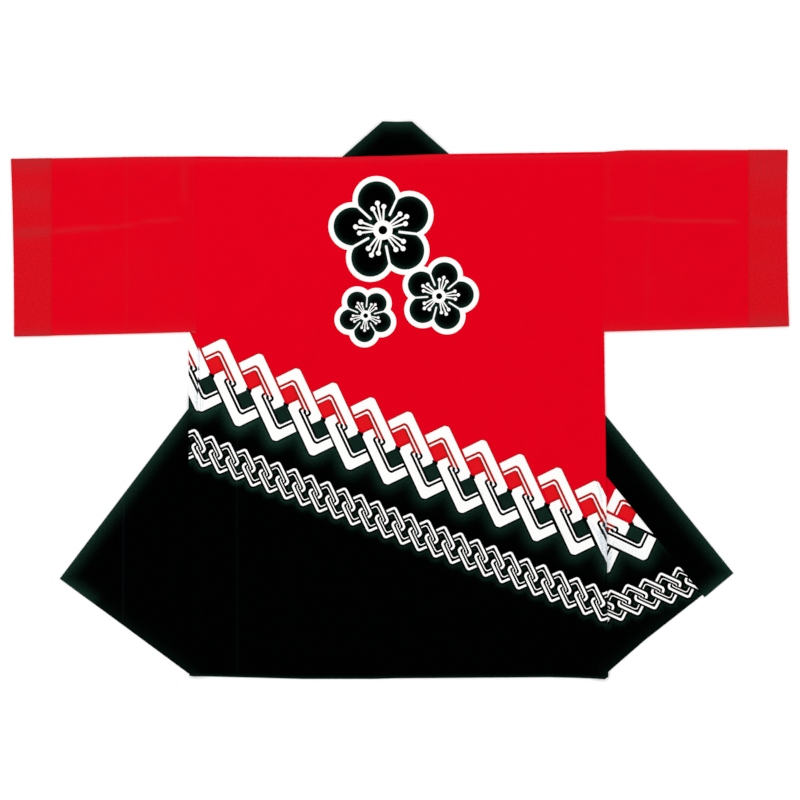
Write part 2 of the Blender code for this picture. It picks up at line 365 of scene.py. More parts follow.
def cloth_object(name, mesh, spots, fields):
    """The object of a cloth's mesh, whose second half of points is the other side of the first.

    spots are the places in the bolt of cloth, and fields hold a value for each of them.
    """
    layer = mesh.uv_layers.new(name="Cloth")
    corner = np.empty(len(mesh.loops), dtype=np.int32)
    mesh.loops.foreach_get("vertex_index", corner)
    layer.uv.foreach_set("vector", np.vstack((spots, spots))[corner].ravel())
    for label, values in fields.items():
        made = mesh.attributes.new(label, "FLOAT", "POINT")
        made.data.foreach_set("value", np.tile(values, 2).astype(np.float32))
    mesh.polygons.foreach_set("use_smooth", [True] * len(mesh.polygons))
    mesh.update()
    piece = bpy.data.objects.new(name, mesh)
    bpy.context.scene.collection.objects.link(piece)
    return piece


# Painted light: black cloth is given a greenish glow beside white, standing for light from the
# white ground along its free edges and from the white print along the printed chains.
# A row is a path of the outline, how strong it is and how far in it reaches.
EDGE_GLARE = [
    row for half in HALVES.values() for row in (
        ((half["bend_outer"], half["band_end"], half["seam_end"]), 0.93, 36 * MM),
        ((half["hem_end"], half["hem_bow"], half["wing_corner"]), 0.54, 36 * MM),
        ((half["neck"], half["collar_top"]), 0.88, 30 * MM),
    )
] + [
    ((left["collar_top"], right["collar_top"]), 1.00, 32 * MM),
    (back_hem, 0.80, 9 * MM),
]


def edge_glare(points):
    near = np.zeros(len(points))
    for path, strength, reach in EDGE_GLARE:
        distance = edge_distance(points, path, closed=False)
        near = np.maximum(near, strength * np.clip(1.0 - distance / reach, 0.0, 1.0))
    return near


THREAD_PITCH = 0.55 * MM
THREAD_RELIEF = 0.1 * MM
THREAD_STRENGTH = 0.5
RIBS_PER_METRE = 95.0
SPECKLES_PER_METRE = 520.0
GRAINS_PER_METRE = 480.0
# The colour of the painted glow of light from white on black cloth
GLARE_COLOUR = (0.0080, 0.0335, 0.0222)
GLARE_POWER = 3.0


def cotton(name, colour, mottle=0.05, crease_shading=None, glare=False, ribs=0.0, grain=(900.0, 60.0),
           patches=26.0):
    """Matt plain-weave cotton. The weave and the unevenness of the dye follow the cloth.

    mottle and ribs are shares by which the colour varies. The crease colour is painted shade and
    highlight along creases, shown where the crease-shading field is 1, and glare lets the Glare
    field show as a painted greenish glow of light from white beside it. grain is how many flecks
    there are to a metre across and along, and patches how many stains of dye.
    """
    made = bpy.data.materials.new(name)
    made.use_nodes = True

    def add(kind, output, inputs, **settings):
        """Adds a node, whose inputs are values or outputs of other nodes."""
        node = made.node_tree.nodes.new("ShaderNode" + kind)
        for key, value in settings.items():
            setattr(node, key, value)
        for key, value in inputs.items():
            if isinstance(value, bpy.types.NodeSocket):
                made.node_tree.links.new(value, node.inputs[key])
            else:
                node.inputs[key].default_value = value
        return node.outputs[output]

    def noise(place, scale, detail=2.0, roughness=0.5):
        return add("TexNoise", "Fac", {
            "Vector": place, "Scale": scale, "Detail": detail, "Roughness": roughness})

    def spread(value, low, high, to_low, to_high):
        return add("MapRange", "Result", {
            "Value": value, "From Min": low, "From Max": high, "To Min": to_low, "To Max": to_high})

    def combine(operation, first, second, clamp=False):
        return add("Math", "Value", {0: first, 1: second}, operation=operation, use_clamp=clamp)

    def field(label):
        return add("Attribute", "Fac", {}, attribute_name=label)

    place = add("UVMap", "UV", {}, uv_map="Cloth")
    slubs = noise(add("Mapping", "Vector", {"Vector": place, "Scale": (*grain, 1.0)}), 1.0)
    dye = combine("ADD", noise(place, patches, 5.0, 0.7), slubs)
    shade = spread(dye, 0.6, 1.4, 1.0 - mottle, 1.0 + mottle)
    if ribs > 0.0:
        waves = add("TexWave", "Fac", {
            "Vector": place, "Scale": RIBS_PER_METRE, "Distortion": 2.2, "Detail": 2.0,
            "Detail Scale": 1.5}, bands_direction="Y")
        shade = combine("MULTIPLY", shade, spread(waves, 0.0, 1.0, 1.0 - ribs, 1.0 + ribs))
    shown = add("VectorMath", "Vector", {0: colour, "Scale": shade}, operation="SCALE")
    # Painted shade and highlight of creases: the crease colour is mixed in by the crease-shading
    # field
    if crease_shading is not None:
        speckles = spread(noise(place, SPECKLES_PER_METRE), 0.40, 0.62, 0.0, 2.2)
        shaded = combine("MULTIPLY", field("CreaseShading"), speckles, clamp=True)
        shown = add("Mix", "Result", {"Factor": shaded, "A": shown, "B": (*crease_shading, 1.0)},
                    data_type="RGBA")
    # Painted light: a greenish glow of light from white beside black cloth, from the Glare field
    if glare:
        cast = combine("POWER", field("Glare"), GLARE_POWER)
        grains = spread(noise(place, GRAINS_PER_METRE), 0.35, 0.65, 0.45, 1.55)
        cast = add("VectorMath", "Vector", {
            0: GLARE_COLOUR, "Scale": combine("MULTIPLY", cast, grains)}, operation="SCALE")
        shown = add("VectorMath", "Vector", {0: shown, 1: cast}, operation="ADD")
    threads = [
        add("TexWave", "Fac", {
            "Vector": place, "Scale": 1.0 / THREAD_PITCH / math.pi, "Distortion": 0.3,
        }, bands_direction=direction)
        for direction in ("X", "Y")
    ]
    relief = add("Bump", "Normal", {
        "Strength": THREAD_STRENGTH, "Distance": THREAD_RELIEF,
        "Height": combine("MULTIPLY", *threads)})

    shader = made.node_tree.nodes["Principled BSDF"]
    for key, value in (
        ("Roughness", 1.0), ("Specular IOR Level", 0.004), ("Sheen Weight", 0.03),
        ("Sheen Roughness", 0.6), ("Sheen Tint", (*colour, 1.0)),
    ):
        shader.inputs[key].default_value = value
    made.node_tree.links.new(shown, shader.inputs["Base Color"])
    made.node_tree.links.new(relief, shader.inputs["Normal"])
    return made


RED, BLACK, WHITE, DARK_RED, LIGHT_RED, INK_GREEN, INK_BLACK, RING = range(8)
# Name, colour, unevenness, colour of the painted shade and highlight along creases, and whether
# white beside it shows as a painted greenish glow
PRINT_COLOURS = (
    ("red_print", (0.698, 0.0000, 0.0098), 0.03, (0.60, 0.0130, 0.0230), False),
    ("black_print", (0.0002, 0.0003, 0.0003), 0.30, (0.0030, 0.0060, 0.0060), True),
    ("white_print", (0.900, 0.896, 0.886), 0.010, (0.52, 0.62, 0.67), False),
    ("dark_red_line", (0.430, 0.0055, 0.0032), 0.05, (0.35, 0.0300, 0.0300), False),
    ("light_red_square", (0.690, 0.0064, 0.0112), 0.05, (0.60, 0.0200, 0.0250), False),
    ("ink_green", (0.0045, 0.0170, 0.0115), 0.30, None, False),
    ("black_line", (0.0002, 0.0003, 0.0003), 0.30, (0.0200, 0.0300, 0.0350), False),
)
REVERSE_COLOURS = (
    ("red_reverse", (0.520, 0.0120, 0.0170), 0.08),
    ("black_reverse", (0.0200, 0.0200, 0.0210), 0.20),
    ("white_reverse", (0.80, 0.78, 0.77), 0.03),
    ("dark_red_reverse", (0.380, 0.0100, 0.0130), 0.08),
    ("light_red_reverse", (0.500, 0.0150, 0.0200), 0.08),
    ("ink_green_reverse", (0.0250, 0.0310, 0.0280), 0.20),
    ("black_line_reverse", (0.0220, 0.0220, 0.0230), 0.20),
)
printed_cotton = [cotton(*row) for row in PRINT_COLOURS + REVERSE_COLOURS]


def stroke(path, width, round_ends=True):
    """The outline of a line of even width drawn along a path."""
    path = np.array(path, dtype=float)
    steps = np.diff(path, axis=0)
    steps /= np.linalg.norm(steps, axis=1)[:, None]
    normals = np.stack((-steps[:, 1], steps[:, 0]), axis=1)
    before = np.vstack((normals[:1], normals))
    after = np.vstack((normals, normals[-1:]))
    dot = np.clip((before * after).sum(axis=1), -0.3, 1.0)
    offsets = (before + after) / (1.0 + dot)[:, None] * width / 2
    left, right = path + offsets, (path - offsets)[::-1]
    cap_end, cap_start = [], []
    if round_ends:
        for index in range(1, 4):
            angle = math.pi * index / 4
            turn = math.cos(angle) * normals[-1] + math.sin(angle) * steps[-1]
            cap_end.append(path[-1] + turn * width / 2)
            turn = -math.cos(angle) * normals[0] - math.sin(angle) * steps[0]
            cap_start.append(path[0] + turn * width / 2)
    return np.array([*left, *cap_end, *right, *cap_start])


def heading(angle):
    """The step of length 1 at an angle."""
    return np.array((math.cos(angle), math.sin(angle)))


def disc(centre, radius, sides=32):
    angles = np.arange(sides) * 2 * math.pi / sides
    return np.stack((np.cos(angles), np.sin(angles)), axis=1) * radius + np.array(centre)


class Chain:
    """Links of one kind, whose middles follow a slanting line with a slight bow."""

    def __init__(self, first, step, bow, numbers):
        self.first, self.step = np.array(first), np.array(step)
        self.bow = np.array((0.0, bow))
        self.numbers = numbers

    def middle(self, number):
        along = np.multiply.outer(number, self.step)
        return self.first + along + np.multiply.outer(number ** 2, self.bow)

    def number_at(self, points):
        return (points[:, 0] - self.first[0]) / self.step[0]


# Two chains of interlocked squares, a traditional pattern. A link is two hooks, the lower one
# the upper one turned round. The tables are millimetres from the link's middle.
LARGE_CHAIN = Chain((-0.27711, 0.02868), (0.06081, -0.02411), 0.000078, range(-5, 18))
HOOK_BAND = ((-47.4, 55.8), (-15.7, 71.3), (-13.5, 71.3), (-8.8, 70.1), (-6.5, 67.4), (28, -6.9),
             (26.4, -8.8), (26.4, -11.9), (25.1, -13.7), (10.8, -20.2), (4.9, -7.6), (2.5, -5.5),
             (1.6, -0.8), (1, 2.2), (-18.6, 42.9), (-20.4, 44.1), (-23.1, 43.7), (-38.4, 36.4),
             (-40, 38.2))
HOOK_SQUARE = ((-36.2, 34.3), (-22.3, 41.9), (-19.6, 40.5), (-12.1, 24.1), (-26.4, 16.6),
               (-30, 17.6))
HOOK_LINE = ((-42.1, 40.5), (-23.9, 48.8), (-21.2, 50.3), (-19.2, 50.5), (-16.1, 48.8), (-14.1, 46),
             (6.9, 1.4))
HOOK_CURL = ((6.9, 1.4), (8.2, -0.6), (8.4, -2.5), (7.4, -4.1), (5.7, -5.3), (3.1, -6.5))
HOOK_EDGE = ((-18.8, 42.5), (-2.7, 6.9))
HOOK_JOIN = ((-5.1, 5.5), (-2.5, 6.7))
HOOK_DOT = (0, 1.4)
HOOK_LINE_WIDTH = 3.0
HOOK_EDGE_WIDTH = 2.8
DOT_RADIUS = 2.3
RED_RING = 1.1
BLACK_RING = 2.2
INK_SPREAD = 0.42
LARGE_PULLS = {3: (-0.8, 0.4), 9: (0.8, 0.8), 10: (1.2, 1.6)}
DIVISION_RISE = 2.5 * MM

# The small chain has the same links, drawn in a broad and a fine white line on black
SMALL_CHAIN = Chain((-0.32813, -0.0781), (0.02712, -0.01071), 0.000009, range(-8, 36))
SMALL_BROAD = ((-19.1, 23.91), (-8.89, 28.4), (-6.84, 28.91), (-4.9, 28.2), (-3.68, 26.46),
               (8.48, 1.23), (9.4, -1.33), (8.79, -3.68), (7.46, -5.31), (4.40, -7.00))
SMALL_FINE = ((-16.55, 18.08), (-11.44, 20.43), (-9.81, 21.05), (-8.07, 20.53), (-6.84, 19.41),
              (-5.93, 18.08), (0.92, 4.29), (2.55, 0.61), (2.86, -0.82), (2.12, -2.95))
SMALL_SQUARE = ((-14.2, 14.4), (-11.2, 15.6), (-9.9, 15.0), (-8.3, 12.2), (-11.0, 10.9),
                (-12.4, 10.9))
SMALL_BROAD_WIDTH = 4.5
SMALL_FINE_WIDTH = 2.3
SMALL_RING = 2.8
# How far the large and the small chain lie from where the back's print would run on
NO_SLIP = (np.zeros(2), np.zeros(2))


def chain_division(points, slip=NO_SLIP):
    """How far a point lies above the slanting line that parts the red cloth from the black."""
    points = points - slip[0]
    line = LARGE_CHAIN.middle(LARGE_CHAIN.number_at(points))[:, 1]
    return points[:, 1] - line - DIVISION_RISE


def link(table, middle, turned=False):
    """A table of millimetres, placed round a link's middle, or turned half round there."""
    shape = np.array(table) * MM
    return middle + (-shape if turned else shape)


def chain_shapes(slip=NO_SLIP):
    """The outlines of both chains, in the order in which they are printed."""
    under, whites, squares, lines = [], [], [], []
    line_width = (HOOK_LINE_WIDTH + 2 * INK_SPREAD) * MM
    edge_width = (HOOK_EDGE_WIDTH + 2 * INK_SPREAD) * MM
    for number in LARGE_CHAIN.numbers:
        middle = LARGE_CHAIN.middle(number) + slip[0]
        middle += np.array(LARGE_PULLS.get(number, (0.0, 0.0))) * MM
        for turned in (False, True):
            ink = INK_BLACK if turned else DARK_RED
            band = link(HOOK_BAND, middle, turned)
            under.append((inset(band, -(BLACK_RING if turned else RED_RING) * MM), RING))
            whites.append((inset(band, INK_SPREAD * MM), WHITE))
            squares.append((link(HOOK_SQUARE, middle, turned), INK_GREEN if turned else LIGHT_RED))
            lines.append((stroke(link(HOOK_LINE, middle, turned), line_width, False), ink))
            lines.append((stroke(link(HOOK_EDGE, middle, turned), edge_width, False), ink))
        for turned in (False, True):
            lines.append((stroke(link(HOOK_CURL, middle, turned), line_width), INK_BLACK))
        lines.append((stroke(link(HOOK_JOIN, middle), line_width * 0.7), DARK_RED))
        for turned in (False, True):
            dot = link((HOOK_DOT,), middle, turned)[0]
            lines.append((disc(dot, (DOT_RADIUS + INK_SPREAD * 0.5) * MM, 12), INK_BLACK))
    for number in SMALL_CHAIN.numbers:
        middle = SMALL_CHAIN.middle(number) + slip[1]
        for turned in (False, True):
            broad = link(SMALL_BROAD, middle, turned)
            under.append((stroke(broad, (SMALL_BROAD_WIDTH + 2 * SMALL_RING) * MM), INK_BLACK))
            under.append((broad, INK_BLACK))
            squares.append((link(SMALL_SQUARE, middle, turned), INK_GREEN))
            for table, width in ((SMALL_BROAD, SMALL_BROAD_WIDTH), (SMALL_FINE, SMALL_FINE_WIDTH)):
                path = link(table, middle, turned)
                lines.append((stroke(path, (width - 2 * INK_SPREAD) * MM, False), WHITE))
    return under + whites + squares + lines


# How strong the painted glare is below the large and small chains and within the blossoms, and its
# reach
LARGE_GLARE = (1.00, 32 * MM)
SMALL_GLARE = (0.90, 14 * MM)
GLARE_RISE = 4 * MM
# It weakens to the right: by how much, from which x, and over what width
GLARE_LOSS, LOSS_START, LOSS_WIDTH = 0.17, -0.28, 0.30


def print_glare(points, slip=NO_SLIP):
    """How near each place in the bolt lies to the white of the chains and blossoms, 1 beside it,
    for the painted glow of light from the white.
    """
    near = np.zeros(len(points))
    for chain, offset, table, closed, margin, (strength, reach) in (
        (LARGE_CHAIN, slip[0], HOOK_BAND, True, BLACK_RING, LARGE_GLARE),
        (SMALL_CHAIN, slip[1], SMALL_BROAD, False, SMALL_BROAD_WIDTH / 2 + SMALL_RING,
         SMALL_GLARE),
    ):
        spots = points - offset
        number = np.round(chain.number_at(spots))
        below = spots[:, 1] < chain.middle(number)[:, 1] + GLARE_RISE
        nearest = np.full(len(points), 1.0)
        for beside in (-2, -1, 0, 1, 2):
            around = spots - chain.middle(number + beside)
            distance = edge_distance(around, link(table, np.zeros(2), True), closed)
            nearest = np.minimum(nearest, distance - margin * MM)
        found = strength * np.clip(1.0 - nearest / reach, 0.0, 1.0)
        weaker = 1.0 - GLARE_LOSS * smooth((spots[:, 0] - LOSS_START) / LOSS_WIDTH)
        near = np.maximum(near, np.where(below, found * weaker, 0.0))
    for centre, reach, turn in BLOSSOMS:
        deepest = np.full(len(points), -1.0)
        for _, middle in petals_of(centre, reach, turn):
            depth = reach * PETAL_REACH - np.linalg.norm(points - middle, axis=1)
            deepest = np.maximum(deepest, depth)
        within = deepest > -1 * MM
        strength, depth = SMALL_GLARE
        near[within] = strength * np.clip(1.0 - deepest[within] / depth, 0.0, 1.0)
    return near


# Three plum blossoms between the shoulders, black with a white outline: middle, reach and turn.
# The sizes that follow are shares of the reach.
BLOSSOMS = (
    ((-0.0280, 0.2780), 0.0800, 0.20),
    ((0.0640, 0.1700), 0.0560, -0.25),
    ((-0.0560, 0.1380), 0.0430, 0.55),
)
BLOSSOM_EDGE = 8.5 * MM
PETALS = 5
PETAL_PLACE = 0.62
PETAL_REACH = 0.390
CORE_REACH = 0.5
HEART_REACH = 0.20
EYE_REACH = 0.09
GAP = (0.34, 0.72, 0.05)
STAMEN_TURNS = ((-0.24, 0.48), (0.0, 0.56), (0.24, 0.48))
STAMEN_START = 0.16
STAMEN_WIDTH = 0.040
ANTHER_REACH = 0.052


def petals_of(centre, reach, turn):
    """The angle and the middle of each petal of a blossom."""
    for number in range(PETALS):
        angle = turn + math.pi / 2 + number * 2 * math.pi / PETALS
        yield angle, np.array(centre) + heading(angle) * reach * PETAL_PLACE


def blossom_shapes():
    """Outlines of the blossoms: white edge, black petals, white heart, stamens and gaps."""
    edge, petals, marks = [], [], []
    for centre, reach, turn in BLOSSOMS:
        for _, middle in petals_of(centre, reach, turn):
            edge.append((disc(middle, reach * PETAL_REACH + BLOSSOM_EDGE), WHITE))
            petals.append((disc(middle, reach * PETAL_REACH), BLACK))
        edge.append((disc(centre, reach * CORE_REACH), WHITE))
        petals.append((disc(centre, reach * CORE_REACH), BLACK))
        marks.append((disc(centre, reach * HEART_REACH, 24), WHITE))
        marks.append((disc(centre, reach * EYE_REACH, 16), INK_BLACK))
        for angle, _ in petals_of(centre, reach, turn):
            out = heading(angle + math.pi / PETALS) * reach
            gap = stroke((centre + out * GAP[0], centre + out * GAP[1]), reach * GAP[2])
            marks.append((gap, WHITE))
            for spread, far in STAMEN_TURNS:
                out = heading(angle + spread) * reach
                line = (centre + out * STAMEN_START, centre + out * far)
                marks.append((stroke(line, reach * STAMEN_WIDTH), WHITE))
                marks.append((disc(line[1], reach * ANTHER_REACH, 12), WHITE))
    return edge + petals + marks


PRINT = chain_shapes() + blossom_shapes()


def paint_print(points, shapes=PRINT, slip=NO_SLIP):
    """The printed colour at points of the unrolled cloth."""
    above = chain_division(points, slip) > 0.0
    kinds = np.where(above, RED, BLACK)
    for shape, colour in shapes:
        low, high = shape.min(axis=0), shape.max(axis=0)
        chosen = np.flatnonzero(((points >= low) & (points <= high)).all(axis=1))
        if len(chosen):
            kinds[chosen[inside(points[chosen], shape)]] = colour
    # A ring is dark red on the red cloth and black on the black
    return np.where(kinds == RING, np.where(above, DARK_RED, INK_BLACK), kinds)


def division_path(slip=NO_SLIP):
    numbers = np.array(LARGE_CHAIN.numbers)
    return LARGE_CHAIN.middle(numbers) + slip[0] + np.array((0.0, DIVISION_RISE))


back_outline = [
    *back_hem, right["seam_top"], right["underarm"], right["arm_top"] + WRAP,
    right["neck"] + WRAP, right["neck"], left["neck"], left["neck"] + WRAP,
    left["arm_top"] + WRAP, left["underarm"], left["seam_top"],
]
# Creases of the back: both ends, height and half width in mm, and how strongly painted shade
# and highlight of the crease show on the print; rows of height 0 are painted shade only. Most lie
# where the cloth is pulled at the sides.
BACK_CREASES = (
    ((-0.2660, -0.4500), (-0.2660, -0.0500), 0.50, 1.6, 0.30),
    ((-0.3280, 0.0850), (-0.3272, 0.0330), 0.40, 0.9, 0.55),
    ((-0.3262, 0.0300), (-0.3255, -0.0180), 0.40, 0.8, 0.60),
    ((-0.3222, 0.0060), (-0.3218, -0.0190), 0.25, 0.8, 0.30),
    ((-0.3252, -0.0200), (-0.3245, -0.1100), 0.35, 0.8, 0.35),
    ((0.3220, -0.1340), (0.3330, -0.1790), 0.60, 1.1, 0.60),
    ((0.3262, -0.1420), (0.3362, -0.1770), 0.40, 0.8, 0.40),
    ((0.3335, -0.1790), (0.3372, -0.2310), 0.50, 0.9, 0.80),
    ((0.3100, -0.1980), (0.3262, -0.2250), 0.50, 1.6, 0.35),
    ((0.3262, -0.2250), (0.3386, -0.2720), 0.60, 1.5, 0.60),
    ((0.3250, -0.2100), (0.3330, -0.2440), 0.40, 0.8, 0.55),
    ((0.3345, -0.3150), (0.3362, -0.3650), 0.35, 0.9, 0.30),
    ((0.3320, -0.1560), (0.3365, -0.2150), 0.00, 4.0, 0.14),
    ((0.3270, -0.2120), (0.3390, -0.2760), 0.00, 5.0, 0.50),
    ((-0.0920, 0.3945), (0.0520, 0.4000), 0.35, 1.0, 0.22),
    ((-0.1900, 0.3700), (-0.1550, 0.1500), 0.25, 6.0, 0.00),
    ((0.2100, 0.3500), (0.1700, 0.0500), 0.25, 7.0, 0.00),
)
CREASE_FADE = 8 * MM
# How strong the painted shade beside the shoulder folds is, and how far in it reaches
SHOULDER_SHADING = (0.5, 5 * MM)


def creased(points, creases):
    """How far creases raise the cloth."""
    height = np.zeros(len(points))
    for start, end, rise, width, _ in creases:
        height += crease(points, start, end, rise * MM, width * MM, CREASE_FADE)
    return height


def shaded_by_creases(points, creases):
    """How strongly painted crease shading shows on the cloth, from 0 to 1."""
    share = np.zeros(len(points))
    for start, end, _, width, painted_shading in creases:
        share += crease(points, start, end, painted_shading, width * MM, CREASE_FADE)
    return np.clip(share, 0.0, 1.0)


def back_shading(points):
    """Painted shade on the back along its creases and beside the shoulder folds."""
    shoulders = [half[end] + WRAP for half, end in (
        (left, "arm_top"), (left, "neck"), (right, "neck"), (right, "arm_top"))]
    strength, width = SHOULDER_SHADING
    beside = strength * np.exp(-edge_distance(points, shoulders, closed=False) / width)
    return np.maximum(shaded_by_creases(points, BACK_CREASES), beside)


def guides_along(creases):
    """Lines along all the creases of a table."""
    return [path for start, end, _, width, _ in creases
            for path in crease_guides(start, end, width * MM)]


def place_back(points):
    height = back_height(points) + CLOTH / 2 + drift(points) + creased(points, BACK_CREASES)
    across = np.tile((0.0, 0.0, 1.0), (len(points), 1))
    return np.column_stack((points, height)), across


PRINT_SPACING = 9 * MM
back_cloth = lay_cloth(
    "back_cloth", back_outline, place_back, CLOTH, PRINT_SPACING,
    guides=[division_path()] + EVERY_SETTLE + guides_along(BACK_CREASES),
    shapes=[shape for shape, _ in PRINT], paint=paint_print, materials=printed_cotton,
    glare=print_glare, painted_shading=back_shading, hems=[back_hem],
)
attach(back_cloth, "root")
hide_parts("back_panel")

# The fronts
# One piece of the printed cotton each, taken over the shoulder to the back and sewn to it there
# and down the side. It lies under the back, outer face down, and turns under itself along a
# slanting crease, so that its free part comes out at the side as a wing, outer face up.
WING_TURN = {"left": math.radians(-37.5), "right": math.radians(39.4)}
WING_PIVOT = {"left": (-0.3433, -0.4508), "right": (0.3400, -0.4492)}
# Creases of the wings and of the strips beside the back, in rows like the back's; rows of height 0,
# such as all of the strips', are painted shade only
WING_CREASES = {
    "left": (((-0.4515, -0.1650), (-0.4530, -0.3570), 0.35, 1.2, 0.55),
             ((-0.4000, -0.1200), (-0.3700, -0.4000), 0.20, 6.0, 0.00)),
    "right": (((0.3500, -0.2300), (0.3395, -0.2790), 0.30, 1.0, 0.30),
              ((0.3480, -0.2330), (0.4000, -0.2620), 0.00, 9.0, 0.15),
              ((0.3440, -0.2450), (0.3405, -0.2800), 0.00, 3.5, 0.40),
              ((0.4400, -0.2000), (0.4050, -0.3700), 0.20, 6.0, 0.00)),
}
STRIP_CREASES = {
    "left": (((-0.3400, 0.0330), (-0.3330, -0.0180), 0.0, 4.0, 0.10),
             ((-0.3290, 0.0900), (-0.3285, 0.0330), 0.0, 1.0, 0.25),
             ((-0.3312, 0.0280), (-0.3310, -0.0150), 0.0, 1.4, 1.00)),
    "right": (((0.3372, -0.1900), (0.3385, -0.2700), 0.0, 2.0, 0.40),
              ((0.3338, -0.1950), (0.3356, -0.2800), 0.0, 3.0, 1.20)),
}
# The print of the strips and of the wings doesn't quite meet the back's
STRIP_SLIP = {"left": (np.array((-0.0020, 0.0)), np.zeros(2)), "right": NO_SLIP}
WING_SLIP = {
    "left": NO_SLIP,
    "right": (np.array((-0.0181, 0.0003)), np.array((0.0046, -0.0034))),
}


def fold(distance):
    """Distance past a fold's line once folded, and the angle turned, from the flat distance."""
    angle = np.clip((distance + FOLD_RADIUS) / FOLD_RADIUS, 0.0, math.pi)
    run = np.where(distance <= -FOLD_RADIUS, distance, FOLD_RADIUS * (np.sin(angle) - 1.0))
    past = distance >= (math.pi - 1) * FOLD_RADIUS
    return np.where(past, (math.pi - 2) * FOLD_RADIUS - distance, run), angle


def unfold(line, points):
    """The flat place of points that lie folded over a line."""
    points = np.asarray(points, dtype=float)
    run = np.asarray(line.distance(points))
    flat = (math.pi - 2) * FOLD_RADIUS - run
    return points + np.multiply.outer(flat - run, line.normal)


def fold_guides(line, reach=1.2):
    step = math.pi * FOLD_RADIUS / FOLD_STEPS
    return [line.segment(index * step - FOLD_RADIUS, reach) for index in range(FOLD_STEPS + 1)]


ANYWHERE = 1.0


def folded_place(points, thickness, level, folds):
    """Cloth at a level that is folded over lines.

    Each fold is a line, its far level, whether it rises, and the y below which it is made.
    """
    spots = points.copy()
    height = level(points)
    across = np.tile((0.0, 0.0, 1.0), (len(points), 1))
    free = np.ones(len(points), dtype=bool)
    for line, far_level, rises, limit in folds:
        distance = line.distance(points)
        bent = free & (distance > -FOLD_RADIUS) & (points[:, 1] < limit)
        free &= ~bent
        run, angle = fold(distance[bent])
        spots[bent] = points[bent] + np.multiply.outer(run - distance[bent], line.normal)
        part = (1.0 - np.cos(angle)) / 2
        start, end = level(spots[bent]), far_level(spots[bent])
        height[bent] = start + (end - start) * part
        normal = np.append(line.normal, 0.0)
        across[bent] = np.multiply.outer(np.sin(angle) * (-1.0 if rises else 1.0), normal)
        across[bent, 2] = np.cos(angle)
    return np.column_stack((spots, height + thickness / 2)), across


def rotated(points, pivot, angle):
    cos, sin = math.cos(angle), math.sin(angle)
    return (points - pivot) @ np.array(((cos, sin), (-sin, cos))) + pivot


def wing_shading(name, layers, points, elsewhere=0.0):
    """How strongly painted crease shading shows on the free part of a front, with another value for
    the rest.
    """
    on_wing = layers.slant.distance(points) > 0.0
    spots = unfold(layers.slant, points)
    return np.where(on_wing, shaded_by_creases(spots, WING_CREASES[name]), elsewhere)


def wing_guides(name, layers):
    """Lines along the creases of a wing, in the flat cut."""
    return [unfold(layers.slant, path) for path in guides_along(WING_CREASES[name])]


def front_cloth(name, layers):
    half = layers.half
    pivot, turn = np.array(WING_PIVOT[name]), WING_TURN[name]
    outline = [
        unfold(layers.shoulder, half["neck"] + WRAP),
        unfold(layers.shoulder, half["arm_top"] + WRAP),
        half["underarm"], half["side_top"],
        unfold(layers.side, half["seam_top"]), unfold(layers.side, half["seam_hem"]),
        half["side_hem"], half["crease_hem"],
        unfold(layers.slant, half["wing_corner"]), unfold(layers.slant, half["hem_bow"]),
        unfold(layers.slant, half["hem_end"]),
        unfold(layers.slant, half["bend_inner"]), half["neck"],
    ]

    def level(points):
        return layers.front_height(points, CLOTH) + drift(points)

    def top_level(points):
        return layers.back_height(points) + drift(points)

    def wing_level(points):
        return creased(points, WING_CREASES[name])

    # Painted crease shading of the strip beside the back and of the wing
    def painted_shading(points):
        strip = shaded_by_creases(unfold(layers.side, points), STRIP_CREASES[name])
        return wing_shading(name, layers, points, strip)

    def place(points):
        return folded_place(points, CLOTH, level, (
            (layers.slant, wing_level, False, ANYWHERE),
            (layers.side, top_level, True, half["underarm"][1] + 2 * MM),
            (layers.shoulder, top_level, True, ANYWHERE),
        ))

    def under_place(shape):
        return shape - 2 * np.multiply.outer(layers.side.distance(shape), layers.side.normal)

    def wing_place(shape):
        return unfold(layers.slant, rotated(shape, pivot, turn))

    def bolt_place(points):
        """Where flat points lie in the unrolled cloth, whose print runs on from the back."""
        spots = points.copy()
        under = layers.slant.distance(points) <= 0.0
        spots[under] = under_place(points[under])
        spots[~under] = rotated(unfold(layers.slant, points[~under]), pivot, -turn)
        return spots

    slip, strip_slip = WING_SLIP[name], STRIP_SLIP[name]
    wing_print, strip_print = chain_shapes(slip), chain_shapes(strip_slip)

    def paint(points):
        spots = bolt_place(points)
        under = layers.slant.distance(points) <= 0.0
        kinds = paint_print(spots, strip_print, strip_slip)
        kinds[~under] = paint_print(spots[~under], wing_print, slip)
        return kinds

    strip_shapes = [under_place(shape) for shape, _ in strip_print]
    wing_shapes = [wing_place(shape) for shape, _ in wing_print]
    shapes = [shape for shape in strip_shapes if (layers.slant.distance(shape) < 0.0).any()]
    shapes += [shape for shape in wing_shapes if (layers.slant.distance(shape) > 0.0).any()]
    guides = fold_guides(layers.slant) + fold_guides(layers.side)
    guides += [under_place(division_path()), wing_place(division_path(slip))]
    guides += wing_guides(name, layers)
    guides += fold_guides(layers.shoulder, 0.4) + layers.settle_guides()
    piece = lay_cloth(
        "front_" + name + "_cloth", outline, place, CLOTH, PRINT_SPACING,
        guides=guides, shapes=shapes, paint=paint, cloth_map=bolt_place,
        materials=printed_cotton, face_down=True, painted_shading=painted_shading,
        glare=lambda spots: print_glare(spots, slip), hems=[outline[8:11]],
    )
    return piece, abs(turning(outline)) / 2


front_cloths = {}
for name, layers in LAYERS.items():
    piece, area = front_cloth(name, layers)
    front_cloths[name] = piece
    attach(piece, "root")
    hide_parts("front_" + name)

# The collar
# A strip of plain black cotton folded lengthwise and sewn along both fronts and round the neck.
# It stands up past the shoulders at the neck, and down each front it turns with the slanting
# crease to become the outer border of the wing.
BAND_CLOTH = 1.4 * MM
BAND_SPACING = 8 * MM
BAND_ROUNDING = 0.9 * MM
